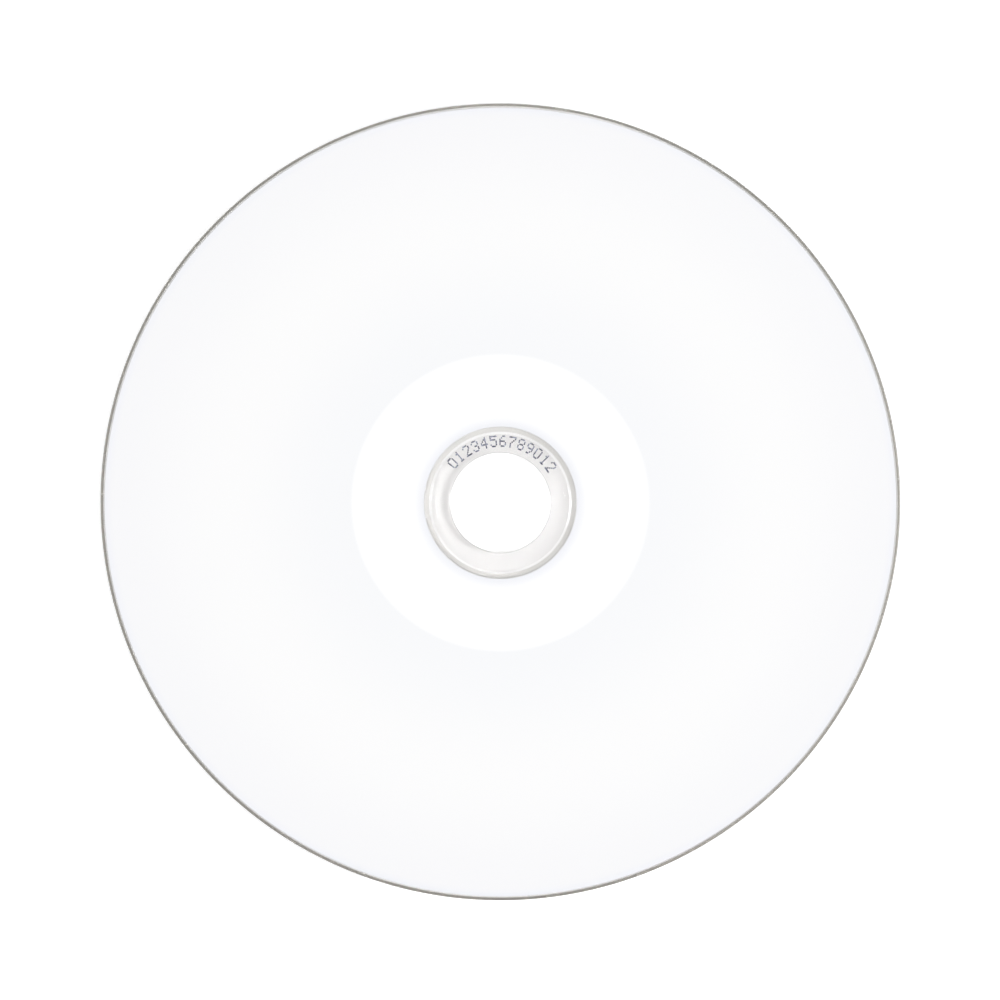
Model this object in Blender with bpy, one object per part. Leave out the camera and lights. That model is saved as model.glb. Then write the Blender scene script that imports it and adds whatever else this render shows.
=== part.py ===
"""Recordable compact disc with a printable white face, lying on its stacking ring with that face up.

The disc is a laminate of three bonded pieces: a clear moulded substrate, the reflective layer that
holds the recording, and the white printable coating that covers and seals it. Each is turned about
the disc's axis from a section drawn in the (radius, height) plane. Heights start at the foot of the
stacking ring, so the disc stands on z = 0. Units are metres, +Z is up.
"""

import math

import bmesh
import bpy

MM = 0.001

# The moulding
DISC_DIAMETER = 120.0 * MM
SUBSTRATE_THICKNESS = 1.2 * MM
RIM_ROUNDING = 0.2 * MM
HOLE_DIAMETER = 15.0 * MM
HOLE_CHAMFER = 0.12 * MM

# Label side of the hub, each width counted outwards from where the last one ends
GATE_SLOPE_WIDTH = 1.0 * MM
GATE_SLOPE_DEPTH = 0.1 * MM
HUB_LAND_WIDTH = 1.9 * MM
HOLDER_GROOVE_WIDTH = 0.95 * MM
HOLDER_GROOVE_DEPTH = 0.25 * MM

# Read side of the hub, from the hole's wall outwards
EJECTOR_LINE_OFFSET = 2.12 * MM
EJECTOR_LINE_WIDTH = 0.08 * MM
EJECTOR_LINE_DEPTH = 0.04 * MM
CLAMPING_LAND_WIDTH = 7.05 * MM
STACKING_RING_WIDTH = 1.0 * MM
STACKING_RING_HEIGHT = 0.2 * MM

# How far the walls of the groove and of the ring lean from upright
WALL_DRAFT = math.radians(40.0)

# The layers on the label side
GROOVE_TO_PRINT = 0.1 * MM
CLEAR_BAND_WIDTH = 10.85 * MM
BARE_RIM_WIDTH = 0.6 * MM
PRINT_LAP = 0.5 * MM
METAL_THICKNESS = 0.01 * MM
PRINT_OVER_METAL = 0.025 * MM

# Fineness of the facets, and the most of the wall that a rounded edge may take
TURN_STEPS = 144
ROUNDING_STEPS = 4
MOST_ROUNDING = 0.4
SHARP_ANGLE = math.radians(30.0)

# Radii and heights that the pieces share
RIM_RADIUS = DISC_DIAMETER / 2
HOLE_RADIUS = HOLE_DIAMETER / 2
GATE_SLOPE_RADIUS = HOLE_RADIUS + GATE_SLOPE_WIDTH
GROOVE_INNER_RADIUS = GATE_SLOPE_RADIUS + HUB_LAND_WIDTH
GROOVE_OUTER_RADIUS = GROOVE_INNER_RADIUS + HOLDER_GROOVE_WIDTH
PRINT_INNER_RADIUS = GROOVE_OUTER_RADIUS + GROOVE_TO_PRINT
PRINT_OUTER_RADIUS = RIM_RADIUS - BARE_RIM_WIDTH
METAL_INNER_RADIUS = PRINT_INNER_RADIUS + CLEAR_BAND_WIDTH
METAL_OUTER_RADIUS = PRINT_OUTER_RADIUS - PRINT_LAP
READ_FACE = STACKING_RING_HEIGHT
LABEL_FACE = READ_FACE + SUBSTRATE_THICKNESS


def clear_scene():
    """Removes every object, so that only the disc is left."""
    for obj in list(bpy.data.objects):
        bpy.data.objects.remove(obj, do_unlink=True)


def rounded_edge(radius, height, rounding, start, end):
    """The arc of a rounded edge about (radius, height), between two angles in quarter turns."""
    points = []
    for step in range(ROUNDING_STEPS + 1):
        turn = start + (end - start) * step / ROUNDING_STEPS
        angle = turn * math.pi / 2
        points.append((radius + rounding * math.cos(angle), height + rounding * math.sin(angle)))
    return points


def flat_bottomed(first, last, face, floor):
    """A groove or a rib with leaning walls: four points from radius first to radius last.

    Its mouth lies at height face and its flat bottom, or top, at height floor.
    """
    lean = abs(floor - face) * math.tan(WALL_DRAFT)
    lean = math.copysign(lean, last - first)
    return [(first, face), (first + lean, floor), (last - lean, floor), (last, face)]


def label_side():
    """The moulded top from the rim's rounding inwards, down the slope round the hole to its wall."""
    edge = LABEL_FACE - GATE_SLOPE_DEPTH
    groove = flat_bottomed(
        GROOVE_OUTER_RADIUS, GROOVE_INNER_RADIUS, LABEL_FACE, LABEL_FACE - HOLDER_GROOVE_DEPTH
    )
    return groove + [
        (GATE_SLOPE_RADIUS, LABEL_FACE),
        (HOLE_RADIUS + HOLE_CHAMFER, edge),
        (HOLE_RADIUS, edge - HOLE_CHAMFER),
    ]


def read_side():
    """The moulded underside from the hole's wall outwards, over the ejector line and the ring."""
    line = HOLE_RADIUS + EJECTOR_LINE_OFFSET
    line_end = line + EJECTOR_LINE_WIDTH
    ring = line_end + CLAMPING_LAND_WIDTH
    hole_edge = [
        (HOLE_RADIUS, READ_FACE + HOLE_CHAMFER),
        (HOLE_RADIUS + HOLE_CHAMFER, READ_FACE),
    ]
    ejector_line = [
        (line, READ_FACE),
        (line + EJECTOR_LINE_WIDTH / 2, READ_FACE + EJECTOR_LINE_DEPTH),
        (line_end, READ_FACE),
    ]
    stacking_ring = flat_bottomed(ring, ring + STACKING_RING_WIDTH, READ_FACE, 0.0)
    return hole_edge + ejector_line + stacking_ring


def rim():
    """The outer wall with its two rounded edges, from the read side up to the label side."""
    rounding = min(RIM_ROUNDING, MOST_ROUNDING * SUBSTRATE_THICKNESS)
    centre = RIM_RADIUS - rounding
    lower = rounded_edge(centre, READ_FACE + rounding, rounding, -1, 0)
    upper = rounded_edge(centre, LABEL_FACE - rounding, rounding, 0, 1)
    return lower + upper


def substrate_section():
    """The whole section of the clear moulding."""
    return label_side() + read_side() + rim()


def reflective_section():
    """The reflective layer's section, its height counted from the face that it lies on."""
    return [
        (METAL_INNER_RADIUS, 0.0),
        (METAL_OUTER_RADIUS, 0.0),
        (METAL_OUTER_RADIUS, METAL_THICKNESS),
        (METAL_INNER_RADIUS, METAL_THICKNESS),
    ]


def coating_section():
    """The coating's section: it fills round the reflective layer and closes over its edges."""
    top = METAL_THICKNESS + PRINT_OVER_METAL
    return [
        (PRINT_INNER_RADIUS, 0.0),
        (METAL_INNER_RADIUS, 0.0),
        (METAL_INNER_RADIUS, METAL_THICKNESS),
        (METAL_OUTER_RADIUS, METAL_THICKNESS),
        (METAL_OUTER_RADIUS, 0.0),
        (PRINT_OUTER_RADIUS, 0.0),
        (PRINT_OUTER_RADIUS, top),
        (PRINT_INNER_RADIUS, top),
    ]


def finish(name, colour, roughness, metallic=0.0, transmission=0.0):
    """A plain material with the piece's own colour and shine."""
    material = bpy.data.materials.new(name)
    material.use_nodes = True
    shader = material.node_tree.nodes["Principled BSDF"]
    shader.inputs["Base Color"].default_value = (*colour, 1.0)
    shader.inputs["Roughness"].default_value = roughness
    shader.inputs["Metallic"].default_value = metallic
    shader.inputs["Transmission Weight"].default_value = transmission
    material.diffuse_color = (*colour, 1.0)
    return material


def turned_piece(name, section, material, height=0.0):
    """Turns a closed section about the disc's axis into one solid object standing at height."""
    shape = bmesh.new()
    points = [shape.verts.new((radius, 0.0, z)) for radius, z in section]
    edges = [shape.edges.new((a, b)) for a, b in zip(points, points[1:] + points[:1])]
    bmesh.ops.spin(
        shape,
        geom=points + edges,
        cent=(0.0, 0.0, 0.0),
        axis=(0.0, 0.0, 1.0),
        angle=math.tau,
        steps=TURN_STEPS,
        use_merge=True,
    )
    bmesh.ops.recalc_face_normals(shape, faces=shape.faces)
    mesh = bpy.data.meshes.new(name)
    shape.to_mesh(mesh)
    shape.free()
    mesh.shade_smooth()
    mesh.set_sharp_from_angle(angle=SHARP_ANGLE)
    mesh.materials.append(material)
    obj = bpy.data.objects.new(name, mesh)
    obj.location = (0.0, 0.0, height)
    bpy.context.scene.collection.objects.link(obj)
    return obj


def main():
    clear_scene()
    disc = bpy.data.objects.new("compact_disc", None)
    bpy.context.scene.collection.objects.link(disc)
    clear_plastic = finish("clear_polycarbonate", (0.95, 0.96, 0.95), 0.03, transmission=1.0)
    silver = finish("silver_over_dye", (0.78, 0.82, 0.80), 0.12, metallic=1.0)
    white_ink = finish("white_receiving_ink", (0.93, 0.93, 0.94), 0.75)
    pieces = (
        turned_piece("substrate", substrate_section(), clear_plastic),
        turned_piece("reflective_layer", reflective_section(), silver, LABEL_FACE),
        turned_piece("printable_coating", coating_section(), white_ink, LABEL_FACE),
    )
    for piece in pieces:
        piece.parent = disc


main()
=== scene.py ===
"""Looks of a recordable compact disc that lies label side up on a pale table.

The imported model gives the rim, the hole, the heights of the faces and the edges of the layers. Three
finely turned pieces stand for its three nodes: the clear moulding and the white printable coating, both
with rounded edges, and the reflective layer between them. Raised dots of ink on the clear hub make
plain digits in counting order.
"""

import logging
import math
from abc import ABC, abstractmethod
from collections.abc import Iterator, Mapping
from dataclasses import dataclass
from enum import Enum
from typing import ClassVar

import bmesh
import bpy
from mathutils import Matrix, Vector


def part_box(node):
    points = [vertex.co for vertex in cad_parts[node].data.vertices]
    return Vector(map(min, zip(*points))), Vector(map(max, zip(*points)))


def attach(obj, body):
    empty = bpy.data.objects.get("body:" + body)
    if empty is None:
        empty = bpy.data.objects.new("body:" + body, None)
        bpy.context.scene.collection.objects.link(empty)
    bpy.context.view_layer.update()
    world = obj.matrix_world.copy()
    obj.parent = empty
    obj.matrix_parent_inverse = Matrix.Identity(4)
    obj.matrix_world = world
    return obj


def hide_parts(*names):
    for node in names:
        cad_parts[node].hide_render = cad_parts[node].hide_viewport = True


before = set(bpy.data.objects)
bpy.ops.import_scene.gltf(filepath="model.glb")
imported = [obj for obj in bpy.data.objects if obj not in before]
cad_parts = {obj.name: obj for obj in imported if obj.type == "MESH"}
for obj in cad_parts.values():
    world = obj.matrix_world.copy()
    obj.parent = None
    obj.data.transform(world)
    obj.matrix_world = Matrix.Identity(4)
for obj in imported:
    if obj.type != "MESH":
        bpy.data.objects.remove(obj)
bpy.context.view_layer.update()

LOG = logging.getLogger("compact_disc")
BODY = "root"
MM = 0.001
MICRON = 1e-6
MM_PER_M = 1000.0

# How far from the end of a flat its extra point lies, and the shortest flat that gets any
FLAT_MARGIN = 0.02 * MM
LEAST_FLAT = 4.0 * FLAT_MARGIN

Colour = tuple[float, float, float]

BLACK: Colour = (0.0, 0.0, 0.0)
WHITE: Colour = (1.0, 1.0, 1.0)


class Node(Enum):
    """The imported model's nodes, by name."""

    SUBSTRATE = "substrate"
    METAL = "reflective_layer"
    COATING = "printable_coating"


class Slot(Enum):
    """The record's material slots."""

    PLASTIC = "clear_polycarbonate"
    SILVER = "silver_over_dye"
    WHITE = "white_receiving_ink"
    INK = "hub_ink"


def opaque(colour: Colour) -> tuple[float, float, float, float]:
    """The colour with an alpha of 1, as a socket takes it."""
    return (*colour, 1.0)


class Signal:
    """An output socket of a node tree."""

    def __init__(self, graph: "Graph", socket: bpy.types.NodeSocket) -> None:
        """Keeps the tree that the socket belongs to, for nodes added after it."""
        self.graph = graph
        self.socket = socket


class Value(Signal):
    """A number that changes over the surface, on which Python's arithmetic adds Math nodes."""

    def apply(self, operation: str, *terms: "Value | float") -> "Value":
        """One Math node with these terms in order."""
        return self.graph.number("ShaderNodeMath", {"operation": operation}, dict(enumerate(terms)))

    def __add__(self, other: "Value | float") -> "Value":
        """self + other"""
        return self.apply("ADD", self, other)

    def __radd__(self, other: float) -> "Value":
        """other + self"""
        return self.apply("ADD", other, self)

    def __sub__(self, other: "Value | float") -> "Value":
        """self - other"""
        return self.apply("SUBTRACT", self, other)

    def __rsub__(self, other: float) -> "Value":
        """other - self"""
        return self.apply("SUBTRACT", other, self)

    def __mul__(self, other: "Value | float") -> "Value":
        """self * other"""
        return self.apply("MULTIPLY", self, other)

    def __rmul__(self, other: float) -> "Value":
        """other * self"""
        return self.apply("MULTIPLY", other, self)

    def __pow__(self, other: float) -> "Value":
        """self ** other"""
        return self.apply("POWER", self, other)

    def rise(self, start: float, end: float) -> "Value":
        """A smooth step from 0 at start to 1 at end."""
        inputs = {"Value": self, "From Min": start, "From Max": end}
        return self.graph.number("ShaderNodeMapRange", {"interpolation_type": "SMOOTHSTEP"}, inputs)

    def between(self, start: float, end: float, softness: float) -> "Value":
        """1 between start and end, falling off to 0 over softness on either side."""
        return self.rise(start - softness, start) * (1.0 - self.rise(end, end + softness))


class Graph:
    """Adds nodes to one node tree."""

    # A Mix node's sockets for a colour, by index, because their names repeat
    MIX_SHARE: ClassVar[int] = 0
    MIX_FIRST: ClassVar[int] = 6
    MIX_SECOND: ClassVar[int] = 7
    MIX_RESULT: ClassVar[int] = 2

    def __init__(self, tree: bpy.types.NodeTree) -> None:
        """Takes the tree of a material or of the world."""
        self.tree = tree

    def node(
        self, kind: str, settings: Mapping[str, object], inputs: Mapping[int | str, object]
    ) -> bpy.types.Node:
        """Adds one node.

        Args:
            kind: The node's type.
            settings: Its properties, set first.
            inputs: Values or links for its sockets, by name or index.

        Returns:
            The new node.
        """
        made = self.tree.nodes.new(kind)
        for name, setting in settings.items():
            setattr(made, name, setting)
        for key, given in inputs.items():
            self.feed(made.inputs[key], given)
        return made

    def feed(self, socket: bpy.types.NodeSocket, given: object) -> None:
        """Links a signal to an input socket, or sets the socket's own value.

        Args:
            socket: The input socket.
            given: The signal, or the value.
        """
        if isinstance(given, Signal):
            self.tree.links.new(given.socket, socket)
        else:
            socket.default_value = given

    def number(
        self,
        kind: str,
        settings: Mapping[str, object],
        inputs: Mapping[int | str, object],
        output: int | str = 0,
    ) -> Value:
        """Adds a node and returns one of its outputs as a number."""
        return Value(self, self.node(kind, settings, inputs).outputs[output])

    def place(self) -> Signal:
        """The point on the surface, in the object's own metres."""
        return Signal(self, self.node("ShaderNodeTexCoord", {}, {}).outputs["Object"])

    def split(self, vector: Signal) -> tuple[Value, ...]:
        """The three numbers of a vector."""
        made = self.node("ShaderNodeSeparateXYZ", {}, {"Vector": vector})
        return tuple(Value(self, made.outputs[axis]) for axis in "XYZ")

    def radius(self) -> Value:
        """Distance from the disc's axis, in millimetres."""
        x, y, _ = self.split(self.place())
        return (x * x + y * y) ** 0.5 * MM_PER_M

    def noise(self, grain: float, octaves: float = 2.0) -> Value:
        """Smooth noise around 0.5 over the surface, its coarsest features grain metres in size."""
        inputs = {"Vector": self.place(), "Scale": 1.0 / grain, "Detail": octaves}
        return self.number("ShaderNodeTexNoise", {}, inputs)

    def blend(self, share: Value, first: Signal | Colour, second: Signal | Colour) -> Signal:
        """Mixes two colours.

        Args:
            share: How much of the second colour there is, from 0 to 1.
            first: The colour at a share of 0.
            second: The colour at a share of 1.

        Returns:
            The mixed colour.
        """
        first, second = (c if isinstance(c, Signal) else opaque(c) for c in (first, second))
        inputs = {self.MIX_SHARE: share, self.MIX_FIRST: first, self.MIX_SECOND: second}
        made = self.node("ShaderNodeMix", {"data_type": "RGBA"}, inputs)
        return Signal(self, made.outputs[self.MIX_RESULT])

    def bump(self, height: Value, depth: float) -> Signal:
        """A normal from a height between 0 and 1, depth metres in all."""
        made = self.node("ShaderNodeBump", {}, {"Distance": depth, "Height": height})
        return Signal(self, made.outputs["Normal"])


class Surface:
    """A material with one Principled shader."""

    def __init__(self, name: str) -> None:
        """Starts a material whose shader has Blender's default values.

        Args:
            name: The material's name.
        """
        self.material = bpy.data.materials.new(name)
        self.material.use_nodes = True
        self.graph = Graph(self.material.node_tree)
        self.shader = self.material.node_tree.nodes["Principled BSDF"]

    def set(self, inputs: Mapping[str, object]) -> bpy.types.Material:
        """Feeds the shader's sockets.

        Args:
            inputs: Values or links for the sockets, by name.

        Returns:
            The material.
        """
        for name, given in inputs.items():
            self.graph.feed(self.shader.inputs[name], given)
        return self.material


@dataclass(frozen=True)
class ClearPlastic:
    """Clear polycarbonate with painted shade in the holder groove, at the hole and round the rim, which
    is also dull, and a painted highlight on the groove's lip.

    Widths and fades along the radius are in millimetres. The side's margin and fade, the half step and
    the grain are in metres.
    """

    tint: Colour = (0.761, 0.753, 0.749)
    # Painted shade in the groove, at the hole and round the rim; the lip's lighter tone is a painted
    # highlight.
    groove_painted_shade: Colour = (0.69, 0.68, 0.65)
    lip_painted_highlight: Colour = (0.93, 0.93, 0.93)
    hole_painted_shade: Colour = (0.55, 0.545, 0.54)
    rim_painted_shade: Colour = (0.34, 0.325, 0.295)
    side_tint: Colour = (0.86, 0.865, 0.86)
    refraction: float = 1.585
    polish: float = 0.012
    haze: float = 0.02
    haze_start: float = 0.45
    haze_full: float = 0.75
    dullness: float = 0.25
    lip_width: float = 0.25
    hole_wall_width: float = 0.10
    rim_wall_width: float = 0.32
    rim_fade: float = 0.16
    side_start: float = 0.03
    side_end: float = 0.01
    side_margin: float = 0.25 * MM
    side_fade: float = 0.04 * MM
    half_step: float = 0.1 * MM
    fade: float = 0.06
    flow_grain: float = 4.0 * MM
    flow_octaves: float = 3.0

    def material(
        self, hole: float, groove: tuple[float, float], rim: float, faces: tuple[float, float]
    ) -> bpy.types.Material:
        """Clear plastic whose tone goes by radius and height, and whose polish is a little uneven.

        Args:
            hole: Radius of the hole's wall, in millimetres.
            groove: Inner and outer radius of the holder groove, in millimetres.
            rim: Radius of the outer wall, in millimetres.
            faces: Heights of the read face and of the label face, in metres.

        Returns:
            The material.
        """
        surface = Surface(Slot.PLASTIC.value)
        graph = surface.graph
        radius = graph.radius()
        height = graph.split(graph.place())[2]
        low, high = faces
        middle = (low + high) / 2
        label_side = height.rise(middle - self.half_step, middle + self.half_step)
        lip_end = groove[0] + self.lip_width
        lip = label_side * radius.between(groove[0], lip_end, self.fade)
        floor = label_side * radius.between(lip_end + 2.0 * self.fade, groove[1], self.fade)
        hole_wall_end = hole + self.hole_wall_width
        hole_wall = 1.0 - radius.rise(hole_wall_end, hole_wall_end + self.fade)
        rim_wall_start = rim - self.rim_wall_width
        rim_wall = radius.rise(rim_wall_start - self.rim_fade, rim_wall_start)
        outermost = radius.rise(rim - self.side_start, rim - self.side_end)
        upright = height.between(low + self.side_margin, high - self.side_margin, self.side_fade)
        side = outermost * upright
        # Painted highlight on the lip, painted shade on the groove's floor, at the hole's wall and round
        # the rim; the upright outer side keeps a lighter tone.
        tone = graph.blend(lip, self.tint, self.lip_painted_highlight)
        tone = graph.blend(floor, tone, self.groove_painted_shade)
        tone = graph.blend(hole_wall, tone, self.hole_painted_shade)
        tone = graph.blend(rim_wall, tone, self.rim_painted_shade)
        tone = graph.blend(side, tone, self.side_tint)
        dull = self.dullness * rim_wall * (1.0 - side)
        flow = graph.noise(self.flow_grain, self.flow_octaves)
        haze = self.haze * flow.rise(self.haze_start, self.haze_full)
        return surface.set(
            {
                "Base Color": tone,
                "IOR": self.refraction,
                "Transmission Weight": 1.0,
                "Roughness": self.polish + haze + dull,
            }
        )


@dataclass(frozen=True)
class SilverOverDye:
    """Silver behind a pale green recording dye, ruled by a spiral too fine to see.

    The rings' grain is in millimetres.
    """

    silver: Colour = (0.80, 0.84, 0.82)
    dye: Colour = (0.74, 0.81, 0.77)
    dye_start: float = 0.3
    dye_full: float = 0.7
    shine: float = 0.12
    shine_spread: float = 0.03
    sheen_spread: float = 0.85
    ring_grain: float = 0.9
    ring_octaves: float = 4.0
    ring_sharpness: float = 0.6

    def material(self) -> bpy.types.Material:
        """Metal with faint rings in the dye and a sheen drawn out across the spiral.

        Returns:
            The material.
        """
        surface = Surface(Slot.SILVER.value)
        graph = surface.graph
        rings = graph.number(
            "ShaderNodeTexNoise",
            {"noise_dimensions": "1D"},
            {
                "W": graph.radius(),
                "Scale": 1.0 / self.ring_grain,
                "Detail": self.ring_octaves,
                "Roughness": self.ring_sharpness,
            },
        )
        dyed = rings.rise(self.dye_start, self.dye_full)
        return surface.set(
            {
                "Base Color": graph.blend(dyed, self.silver, self.dye),
                "Metallic": 1.0,
                "Roughness": self.shine + self.shine_spread * rings,
                "Anisotropic": self.sheen_spread,
            }
        )


@dataclass(frozen=True)
class WhiteCoating:
    """Matt white receiving print, greyer over the metal, thinner at both edges and darker at its very
    edges, partly as thin ink and partly as painted shade.

    Widths and fades along the radius are in millimetres, and the grains and the depth in metres.
    """

    over_plastic: Colour = (0.930, 0.932, 0.935)
    over_metal: Colour = (0.860, 0.866, 0.881)
    mid_face: Colour = (0.889, 0.889, 0.892)
    outer_face: Colour = (0.862, 0.862, 0.876)
    thin_edge: Colour = (0.830, 0.838, 0.874)
    # Thin ink at the print's very edges, darkened further as painted shade.
    bare_edge_and_shade: Colour = (0.68, 0.68, 0.68)
    bare_edge_width: float = 0.08
    hub_halo: float = 1.9
    metal_fade: float = 0.7
    rim_fade: float = 1.4
    tooth_grain: float = 0.07 * MM
    tooth_depth: float = 2.0 * MICRON
    mottle_grain: float = 9.0 * MM
    mottle_octaves: float = 3.0
    mottle: float = 0.006
    dullness: float = 0.62
    dullness_spread: float = 0.2
    gloss: float = 0.3

    def material(self, inner: float, metal: float, outer: float) -> bpy.types.Material:
        """The coating's tones by distance from the axis, with a fine tooth.

        Args:
            inner: Radius of the coating's edge at the hub, in millimetres.
            metal: Radius where the metal under it begins, in millimetres.
            outer: Radius of the coating's edge at the rim, in millimetres.

        Returns:
            The material.
        """
        surface = Surface(Slot.WHITE.value)
        graph = surface.graph
        radius = graph.radius()
        middle = (metal + outer) / 2
        face = graph.blend(radius.rise(metal, middle), self.over_metal, self.mid_face)
        face = graph.blend(radius.rise(middle, outer), face, self.outer_face)
        over_metal = radius.rise(metal - self.metal_fade / 2, metal + self.metal_fade / 2)
        face = graph.blend(over_metal, self.over_plastic, face)
        face = graph.blend(1.0 - radius.rise(inner, inner + self.hub_halo), face, self.thin_edge)
        face = graph.blend(radius.rise(outer - self.rim_fade, outer), face, self.thin_edge)
        # Darker at both very edges of the print: partly thin ink, partly painted shade.
        past_inner_edge = radius.rise(inner, inner + self.bare_edge_width)
        at_outer_edge = radius.rise(outer - self.bare_edge_width, outer)
        face = graph.blend(past_inner_edge * (1.0 - at_outer_edge), self.bare_edge_and_shade, face)
        mottle = graph.noise(self.mottle_grain, self.mottle_octaves)
        tooth = graph.noise(self.tooth_grain)
        shade = 1.0 - self.mottle * mottle - self.mottle * tooth
        return surface.set(
            {
                "Base Color": graph.blend(shade, BLACK, face),
                "Roughness": self.dullness + self.dullness_spread * tooth,
                "Specular IOR Level": self.gloss,
                "Normal": graph.bump(tooth, self.tooth_depth),
            }
        )


@dataclass(frozen=True)
class JetInk:
    """Dark blue-grey ink, thicker in some drops than in others."""

    thick: Colour = (0.008, 0.012, 0.055)
    thin: Colour = (0.24, 0.26, 0.34)
    thin_start: float = 0.42
    thin_full: float = 0.60
    drop_grain: float = 0.5 * MM
    drop_octaves: float = 1.0
    dullness: float = 0.45
    dullness_spread: float = 0.2

    def material(self) -> bpy.types.Material:
        """Ink whose tone changes from drop to drop.

        Returns:
            The material.
        """
        surface = Surface(Slot.INK.value)
        graph = surface.graph
        drop = graph.noise(self.drop_grain, self.drop_octaves)
        thinned = drop.rise(self.thin_start, self.thin_full)
        return surface.set(
            {
                "Base Color": graph.blend(thinned, self.thick, self.thin),
                "Roughness": self.dullness + self.dullness_spread * drop,
            }
        )


@dataclass(frozen=True)
class PaleTable:
    """The matt pale top of a softly glowing light table, with a barely visible unevenness."""

    light: Colour = (0.86, 0.86, 0.86)
    dim: Colour = (0.84, 0.84, 0.84)
    grain: float = 0.3
    dullness: float = 0.9
    gloss: float = 0.1
    glow: float = 0.50

    def material(self) -> bpy.types.Material:
        """Matt white that is also lit from below.

        Returns:
            The material.
        """
        surface = Surface("pale_table")
        graph = surface.graph
        return surface.set(
            {
                "Base Color": graph.blend(graph.noise(self.grain), self.light, self.dim),
                "Roughness": self.dullness,
                "Specular IOR Level": self.gloss,
                "Emission Color": opaque(WHITE),
                "Emission Strength": self.glow,
            }
        )


class Section:
    """A closed outline in the (radius, height) plane, to be turned about the disc's axis."""

    def __init__(self) -> None:
        """Starts with no corners."""
        self.corners: list[tuple[float, float, float]] = []

    def corner(self, radius: float, height: float, rounding: float = 0.0) -> None:
        """Adds a corner."""
        self.corners.append((radius, height, rounding))

    def rib(
        self, first: float, last: float, face: float, crest: float, draft: float, rounding: float
    ) -> None:
        """Adds a rib with leaning walls.

        Args:
            first: Radius where it begins.
            last: Radius where it ends.
            face: Height of the surface that it interrupts.
            crest: Height of its flat crest.
            draft: How far its walls lean from upright, in radians.
            rounding: Rounding of its four corners.
        """
        lean = abs(crest - face) * math.tan(draft)
        self.corner(first, face, rounding)
        self.corner(first + lean, crest, rounding)
        self.corner(last - lean, crest, rounding)
        self.corner(last, face, rounding)

    @staticmethod
    def keep_flats(shape: bmesh.types.BMesh) -> None:
        """Adds a point near each end of every long edge, so that a flat beside a rounding shades flat.

        Args:
            shape: The outline, before it is turned.
        """
        long_edges = [edge for edge in shape.edges if edge.calc_length() > LEAST_FLAT]
        for edge in long_edges:
            start, end = edge.verts
            step = (end.co - start.co).normalized() * FLAT_MARGIN
            near_start = bmesh.utils.edge_split(edge, start, 0.5)[1]
            near_start.co = start.co + step
            rest = next(link for link in near_start.link_edges if end in link.verts)
            near_end = bmesh.utils.edge_split(rest, near_start, 0.5)[1]
            near_end.co = end.co - step

    def turned(self, steps: int, fineness: int) -> bmesh.types.BMesh:
        """Turns the outline into a closed ring.

        Args:
            steps: Facets round the axis.
            fineness: Facets on each rounded corner.

        Returns:
            The ring, with its faces outwards.
        """
        shape = bmesh.new()
        points = [shape.verts.new((radius, 0.0, height)) for radius, height, _ in self.corners]
        for start, end in zip(points, points[1:] + points[:1]):
            shape.edges.new((start, end))
        for rounding in sorted({corner[2] for corner in self.corners if corner[2]}):
            chosen = [point for point, corner in zip(points, self.corners) if corner[2] == rounding]
            bmesh.ops.bevel(
                shape,
                geom=chosen,
                offset=rounding,
                offset_type="OFFSET",
                affect="VERTICES",
                segments=fineness,
                profile=0.5,
                material=-1,
            )
        self.keep_flats(shape)
        bmesh.ops.spin(
            shape,
            geom=shape.verts[:] + shape.edges[:],
            cent=(0.0, 0.0, 0.0),
            axis=(0.0, 0.0, 1.0),
            angle=math.tau,
            steps=steps,
            use_merge=True,
        )
        bmesh.ops.recalc_face_normals(shape, faces=shape.faces)
        return shape


@dataclass
class DiscSizes:
    """Sizes that the pieces share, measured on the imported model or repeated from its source."""

    gate_slope_width: float = 1.0 * MM
    gate_slope_depth: float = 0.1 * MM
    hub_land_width: float = 1.9 * MM
    holder_groove_width: float = 0.95 * MM
    holder_groove_depth: float = 0.25 * MM
    ejector_line_offset: float = 2.12 * MM
    ejector_line_width: float = 0.08 * MM
    clamping_land_width: float = 7.05 * MM
    stacking_ring_width: float = 1.0 * MM
    stacking_ring_height: float = 0.2 * MM
    wall_draft: float = math.radians(40.0)

    def __post_init__(self) -> None:
        """Reads the rim, the hole, the faces and the layers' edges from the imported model."""
        self.hole, self.rim = self.reach(Node.SUBSTRATE)
        self.metal_inner, self.metal_outer = self.reach(Node.METAL)
        self.print_inner, self.print_outer = self.reach(Node.COATING)
        self.label_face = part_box(Node.SUBSTRATE.value)[1].z
        self.metal_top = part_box(Node.METAL.value)[1].z
        self.print_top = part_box(Node.COATING.value)[1].z
        self.read_face = self.stacking_ring_height
        self.gate_slope_end = self.hole + self.gate_slope_width
        self.groove_inner = self.gate_slope_end + self.hub_land_width
        self.groove_outer = self.groove_inner + self.holder_groove_width

    @staticmethod
    def reach(node: Node) -> tuple[float, float]:
        """The least and the greatest distance of a node's points from the disc's axis."""
        found = [point.co.xy.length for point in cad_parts[node.value].data.vertices]
        return min(found), max(found)


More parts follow.
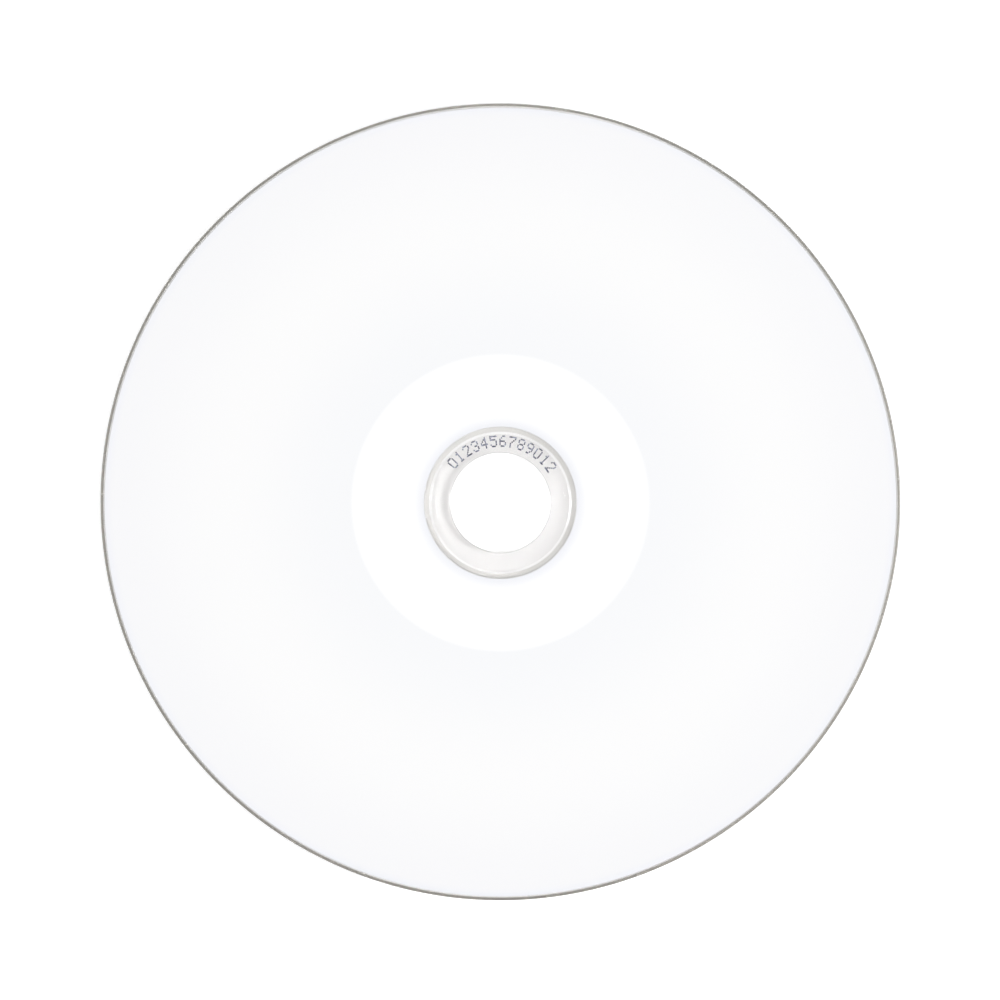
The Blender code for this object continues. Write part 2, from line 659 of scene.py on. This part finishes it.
@dataclass
class Piece(ABC):
    """One visible piece of the disc."""

    sizes: DiscSizes
    name: str = ""
    slot: Slot = Slot.PLASTIC
    stands_for: Node | None = None
    turn_steps: int = 512
    round_steps: int = 4
    sharp_angle: float = math.radians(50.0)

    @abstractmethod
    def shape(self) -> bmesh.types.BMesh:
        """The piece's form, in place."""

    @abstractmethod
    def finish(self) -> bpy.types.Material:
        """The piece's material."""

    def build(self) -> None:
        """Makes the object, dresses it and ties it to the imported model."""
        shape = self.shape()
        mesh = bpy.data.meshes.new(self.name)
        shape.to_mesh(mesh)
        shape.free()
        mesh.shade_smooth()
        mesh.set_sharp_from_angle(angle=self.sharp_angle)
        mesh.materials.append(self.finish())
        made = bpy.data.objects.new(self.name, mesh)
        bpy.context.scene.collection.objects.link(made)
        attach(made, BODY)
        if self.stands_for is not None:
            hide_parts(self.stands_for.value)
        LOG.info("%s: %d faces", self.name, len(mesh.polygons))


@dataclass
class ClearMoulding(Piece):
    """The moulded disc with its hole, hub rings, stacking ring and rim."""

    name: str = "clear_moulding"
    slot: Slot = Slot.PLASTIC
    stands_for: Node | None = Node.SUBSTRATE
    rim_rounding: float = 0.2 * MM
    hole_chamfer: float = 0.12 * MM
    edge_softness: float = 0.04 * MM
    slope_softness: float = 0.25 * MM
    gentle_wall: float = 0.24 * MM
    steep_draft: float = math.radians(15.0)
    wall_softness: float = 0.07 * MM
    faint_line_depth: float = 0.012 * MM
    line_softness: float = 0.01 * MM

    def shape(self) -> bmesh.types.BMesh:
        """The section of the moulding, turned.

        Returns:
            The form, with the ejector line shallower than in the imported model.
        """
        s = self.sizes
        soft = self.edge_softness
        slope_foot = s.label_face - s.gate_slope_depth
        groove_floor = s.label_face - s.holder_groove_depth
        steep_wall = s.holder_groove_depth * math.tan(self.steep_draft)
        line = s.hole + s.ejector_line_offset
        line_end = line + s.ejector_line_width
        ring = line_end + s.clamping_land_width
        ring_end = ring + s.stacking_ring_width
        section = Section()
        section.corner(s.groove_outer, s.label_face, soft)
        section.corner(s.groove_outer - steep_wall, groove_floor, soft)
        section.corner(s.groove_inner + self.gentle_wall, groove_floor, soft)
        section.corner(s.groove_inner, s.label_face, self.wall_softness)
        section.corner(s.gate_slope_end, s.label_face, self.slope_softness)
        section.corner(s.hole + self.hole_chamfer, slope_foot, soft)
        section.corner(s.hole, slope_foot - self.hole_chamfer, soft)
        section.corner(s.hole, s.read_face + self.hole_chamfer, soft)
        section.corner(s.hole + self.hole_chamfer, s.read_face, soft)
        section.corner(line, s.read_face, self.line_softness)
        section.corner((line + line_end) / 2, s.read_face + self.faint_line_depth, self.line_softness)
        section.corner(line_end, s.read_face, self.line_softness)
        section.rib(ring, ring_end, s.read_face, 0.0, s.wall_draft, soft)
        section.corner(s.rim, s.read_face, self.rim_rounding)
        section.corner(s.rim, s.label_face, self.rim_rounding)
        return section.turned(self.turn_steps, self.round_steps)

    def finish(self) -> bpy.types.Material:
        """Clear plastic, with its painted shade and highlight tied to the hole, the groove and the rim.

        Returns:
            The material.
        """
        s = self.sizes
        groove = (s.groove_inner * MM_PER_M, s.groove_outer * MM_PER_M)
        faces = (s.read_face, s.label_face)
        return ClearPlastic().material(s.hole * MM_PER_M, groove, s.rim * MM_PER_M, faces)


@dataclass
class ReflectiveLayer(Piece):
    """Dye, silver and lacquer, let into the plastic by a hair so that no air shows between them."""

    name: str = "silver_layer"
    slot: Slot = Slot.SILVER
    stands_for: Node | None = Node.METAL
    bond: float = 3.0 * MICRON

    def shape(self) -> bmesh.types.BMesh:
        """A thin flat ring.

        Returns:
            The form.
        """
        s = self.sizes
        foot = s.label_face - self.bond
        section = Section()
        section.corner(s.metal_inner, foot)
        section.corner(s.metal_outer, foot)
        section.corner(s.metal_outer, s.metal_top)
        section.corner(s.metal_inner, s.metal_top)
        return section.turned(self.turn_steps, self.round_steps)

    def finish(self) -> bpy.types.Material:
        """Silver behind dye."""
        return SilverOverDye().material()


@dataclass
class PrintableCoating(Piece):
    """The white print, closed over the reflective layer's edges and rounded off at its own."""

    name: str = "white_print"
    slot: Slot = Slot.WHITE
    stands_for: Node | None = Node.COATING
    bond: float = 2.0 * MICRON
    edge_rounding: float = 0.02 * MM

    def shape(self) -> bmesh.types.BMesh:
        """A thin ring with soft upper edges and a seat for the metal under it.

        Returns:
            The form.
        """
        s = self.sizes
        foot = s.label_face - self.bond
        section = Section()
        section.corner(s.print_inner, foot)
        section.corner(s.metal_inner, foot)
        section.corner(s.metal_inner, s.metal_top)
        section.corner(s.metal_outer, s.metal_top)
        section.corner(s.metal_outer, foot)
        section.corner(s.print_outer, foot)
        section.corner(s.print_outer, s.print_top, self.edge_rounding)
        section.corner(s.print_inner, s.print_top, self.edge_rounding)
        return section.turned(self.turn_steps, self.round_steps)

    def finish(self) -> bpy.types.Material:
        """White receiving print, with its tones tied to the layer's edges."""
        edges = (self.sizes.print_inner, self.sizes.metal_inner, self.sizes.print_outer)
        return WhiteCoating().material(*(edge * MM_PER_M for edge in edges))


@dataclass
class HubDigits(Piece):
    """Plain digits in counting order, set in raised dots along an arc on the hub."""

    GLYPHS: ClassVar[Mapping[str, str]] = {
        "0": ".###. #...# #...# #...# #...# #...# .###.",
        "1": "..#.. .##.. ..#.. ..#.. ..#.. ..#.. .###.",
        "2": ".###. #...# ....# ...#. ..#.. .#... #####",
        "3": ".###. #...# ....# ..##. ....# #...# .###.",
        "4": "...#. ..##. .#.#. #..#. ##### ...#. ...#.",
        "5": "##### #.... ####. ....# ....# #...# .###.",
        "6": "..##. .#... #.... ####. #...# #...# .###.",
        "7": "##### ....# ...#. ..#.. .#... .#... .#...",
        "8": ".###. #...# #...# .###. #...# #...# .###.",
        "9": ".###. #...# #...# .#### ....# ...#. .##..",
    }

    name: str = "hub_digits"
    slot: Slot = Slot.INK
    digits: str = "0123456789012"
    middle_radius: float = 9.3 * MM
    first_angle: float = math.radians(140.0)
    last_angle: float = math.radians(35.5)
    column_pitch: float = 0.205 * MM
    row_pitch: float = 0.25 * MM
    dot_width: float = 0.235 * MM
    dot_height: float = 0.26 * MM
    dot_thickness: float = 5.0 * MICRON
    dot_sides: int = 12
    crown: float = 0.75
    bond: float = 1.0 * MICRON

    def marks(self, digit: str) -> Iterator[tuple[float, float]]:
        """Finds a digit's dots.

        Args:
            digit: The digit.

        Returns:
            How far each dot lies from the digit's middle, in columns to the right and in rows up.
        """
        glyph = self.GLYPHS[digit].split()
        middle_row = (len(glyph) - 1) / 2
        for row, columns in enumerate(glyph):
            middle_column = (len(columns) - 1) / 2
            for column, mark in enumerate(columns):
                if mark == "#":
                    yield column - middle_column, middle_row - row

    def dots(self) -> Iterator[tuple[float, float]]:
        """Places every dot of ink.

        Returns:
            Each dot's angle and radius.
        """
        pitch = (self.last_angle - self.first_angle) / (len(self.digits) - 1)
        for place, digit in enumerate(self.digits):
            for column, row in self.marks(digit):
                along = column * self.column_pitch / self.middle_radius
                yield self.first_angle + place * pitch - along, self.middle_radius + row * self.row_pitch

    def shape(self) -> bmesh.types.BMesh:
        """Each dot as a low crowned pad, longer along the radius than across.

        Returns:
            The form.
        """
        shape = bmesh.new()
        lift = self.sizes.label_face + self.dot_thickness / 2 - self.bond
        stretch = Matrix.Diagonal((self.dot_height / self.dot_width, 1.0, 1.0, 1.0))
        for angle, radius in self.dots():
            out = Matrix.Translation((radius, 0.0, lift))
            bmesh.ops.create_cone(
                shape,
                cap_ends=True,
                segments=self.dot_sides,
                radius1=self.dot_width / 2,
                radius2=self.dot_width / 2 * self.crown,
                depth=self.dot_thickness,
                matrix=Matrix.Rotation(angle, 4, "Z") @ out @ stretch,
            )
        return shape

    def finish(self) -> bpy.types.Material:
        """Dark blue-grey ink."""
        return JetInk().material()


@dataclass(frozen=True)
class SoftBox:
    """A square soft box that faces the disc, placed by its direction from it."""

    name: str
    turn: float
    height: float
    side: float
    power: float
    away: float = 6.2

    def build(self) -> None:
        """Adds the lamp, turned towards the disc."""
        data = bpy.data.lights.new(self.name, "AREA")
        data.shape = "SQUARE"
        data.size = self.side
        data.energy = self.power
        level = math.cos(self.height)
        across = level * math.cos(self.turn)
        along = level * math.sin(self.turn)
        towards = Vector((across, along, math.sin(self.height)))
        made = bpy.data.objects.new(self.name, data)
        made.location = towards * self.away
        made.rotation_euler = towards.to_track_quat("Z", "Y").to_euler()
        bpy.context.scene.collection.objects.link(made)


@dataclass
class Studio:
    """The table under the disc, the sky and two lamps over it, and the camera."""

    sizes: DiscSizes
    table_side: float = 14.0
    table_drop: float = 20.0 * MICRON
    picture_width: float = 150.0 * MM
    picture_pixels: float = 1000.0
    disc_middle_pixel: tuple[float, float] = (499.85, 502.4)
    lens: float = 600.0
    sensor: float = 36.0
    lean_back: float = math.radians(4.9)
    sky_high: float = 0.53
    sky_low: float = 0.20
    sky_rise_start: float = 0.05
    sky_rise_end: float = 0.5
    right_lamp: SoftBox = SoftBox(
        "soft_box_right", turn=math.radians(-5.0), height=math.radians(36.5), side=2.1, power=275.0
    )
    left_lamp: SoftBox = SoftBox(
        "soft_box_left", turn=math.radians(185.0), height=math.radians(55.0), side=1.6, power=90.0
    )
    brightest_bounce: float = 40.0

    def table(self) -> None:
        """A plain pale table under the disc."""
        shape = bmesh.new()
        bmesh.ops.create_grid(
            shape,
            x_segments=1,
            y_segments=1,
            size=self.table_side / 2,
            matrix=Matrix.Translation((0.0, 0.0, -self.table_drop)),
        )
        mesh = bpy.data.meshes.new("table")
        shape.to_mesh(mesh)
        shape.free()
        mesh.materials.append(PaleTable().material())
        made = bpy.data.objects.new("table", mesh)
        bpy.context.scene.collection.objects.link(made)

    def sky(self) -> None:
        """A room, bright overhead and dim near the horizon, that the camera sees as plain white."""
        world = bpy.data.worlds.new("white_room")
        world.use_nodes = True
        bpy.context.scene.world = world
        graph = Graph(world.node_tree)
        direction = Signal(graph, graph.node("ShaderNodeTexCoord", {}, {}).outputs["Generated"])
        overhead = graph.split(direction)[2].rise(self.sky_rise_start, self.sky_rise_end)
        seen = graph.number("ShaderNodeLightPath", {}, {}, "Is Camera Ray")
        glow = self.sky_low + (self.sky_high - self.sky_low) * overhead
        background = world.node_tree.nodes["Background"]
        background.inputs["Color"].default_value = opaque(WHITE)
        graph.feed(background.inputs["Strength"], seen + (1.0 - seen) * glow)

    def camera(self) -> None:
        """A long lens above the disc, a little behind the upright, with +Y up in the picture."""
        data = bpy.data.cameras.new("camera")
        data.lens = self.lens
        data.sensor_width = self.sensor
        distance = self.picture_width / self.sensor * self.lens
        pixel = self.picture_width / self.picture_pixels
        middle = (self.picture_pixels - 1.0) / 2
        aim = Vector(
            (
                (middle - self.disc_middle_pixel[0]) * pixel,
                (self.disc_middle_pixel[1] - middle) * pixel,
                self.sizes.label_face,
            )
        )
        turn = Matrix.Rotation(-self.lean_back, 4, "X")
        made = bpy.data.objects.new("camera", data)
        made.matrix_world = Matrix.Translation(aim) @ turn @ Matrix.Translation((0.0, 0.0, distance))
        data.clip_end = 2.0 * distance
        bpy.context.scene.collection.objects.link(made)
        bpy.context.scene.camera = made

    def build(self) -> None:
        """Sets the table, lights and camera, and how the picture keeps whites and bright reflections."""
        self.table()
        self.sky()
        self.right_lamp.build()
        self.left_lamp.build()
        self.camera()
        bpy.context.scene.view_settings.view_transform = "Standard"
        bpy.context.scene.cycles.blur_glossy = 0.0
        bpy.context.scene.cycles.sample_clamp_indirect = self.brightest_bounce


def main() -> None:
    """Builds the disc's pieces and the studio round them."""
    logging.basicConfig(level=logging.INFO, format="%(message)s")
    sizes = DiscSizes()
    Studio(sizes).build()
    pieces = (ClearMoulding(sizes), ReflectiveLayer(sizes), PrintableCoating(sizes), HubDigits(sizes))
    for piece in pieces:
        piece.build()


if __name__ == "__main__":
    main()
